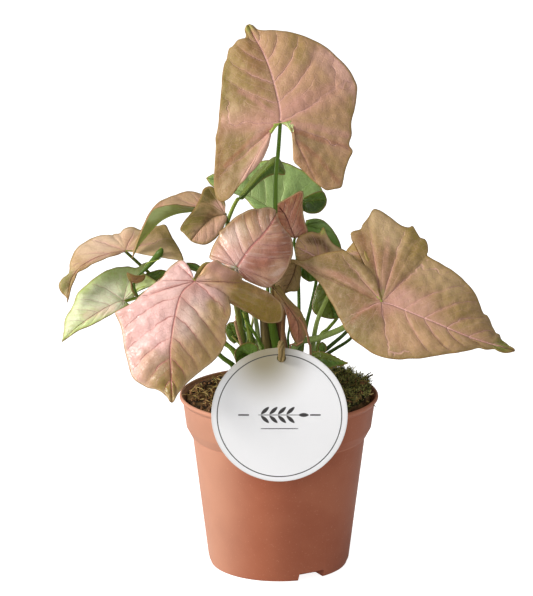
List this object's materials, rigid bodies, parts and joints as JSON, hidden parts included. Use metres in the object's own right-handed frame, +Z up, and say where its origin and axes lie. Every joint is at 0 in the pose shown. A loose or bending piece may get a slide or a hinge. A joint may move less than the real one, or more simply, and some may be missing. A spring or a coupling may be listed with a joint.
{
  "type": "potted syngonium plant",
  "caption": "Potted pink arrowhead plant: lobed leaves on long petioles in a round tapered nursery pot filled with peat, with a round hanging card tag on a raffia tie.",
  "frame": {"origin": "middle of the pot's foot, on the surface that the pot stands on", "axes": "+Z up along the pot's axis; -Y is the front, where the tag hangs; +X is to the viewer's right"},
  "size_m": [0.2691, 0.1604, 0.3254],
  "materials": {
    "pot_plastic": "satin injection-moulded plastic",
    "peat": "loose moist peat with moss and fibres",
    "card": "smooth coated card",
    "raffia": "dry natural fibre",
    "stem": "smooth waxy green",
    "leaf_pink": "satin, slightly quilted",
    "leaf_tan": "satin, slightly quilted",
    "leaf_rose": "satin, slightly quilted",
    "leaf_olive": "satin",
    "leaf_brown": "satin",
    "leaf_pale_green": "satin",
    "leaf_mid_green": "satin",
    "leaf_deep_green": "glossy"
  },
  "bodies": {
    "root": {"pot": "pot_plastic", "soil": "peat", "tag": "card", "tag_tie": "raffia", "shoot_centre": "stem", "shoot_left": "stem", "shoot_rear_left": "stem", "shoot_front": "stem", "shoot_right": "stem", "shoot_rear": "stem", "leaf_top": "leaf_tan", "leaf_front": "leaf_pink", "leaf_right": "leaf_tan", "leaf_fold": "leaf_tan", "leaf_centre": "leaf_rose", "leaf_rear_pink": "leaf_rose", "leaf_gloss": "leaf_deep_green", "leaf_rear_green": "leaf_mid_green", "leaf_rear_dark": "leaf_deep_green", "leaf_narrow": "leaf_deep_green", "leaf_arching": "leaf_tan", "leaf_far_left": "leaf_tan", "leaf_pale": "leaf_pale_green", "leaf_small_dark": "leaf_deep_green", "leaf_scrap": "leaf_brown", "leaf_speck": "leaf_deep_green", "leaf_olive": "leaf_olive", "leaf_brown": "leaf_brown", "leaf_hanging": "leaf_brown", "leaf_inner_left": "leaf_deep_green", "leaf_inner_mid": "leaf_deep_green", "leaf_cup": "leaf_deep_green", "leaf_toothed": "leaf_mid_green", "leaf_stub": "leaf_deep_green", "leaf_hidden": "leaf_deep_green", "leaf_back_right": "leaf_tan", "leaf_back_low": "leaf_mid_green", "leaf_back_left": "leaf_tan", "leaf_back_centre": "leaf_rose", "leaf_rolled": "leaf_deep_green"}
  },
  "joints": []
}
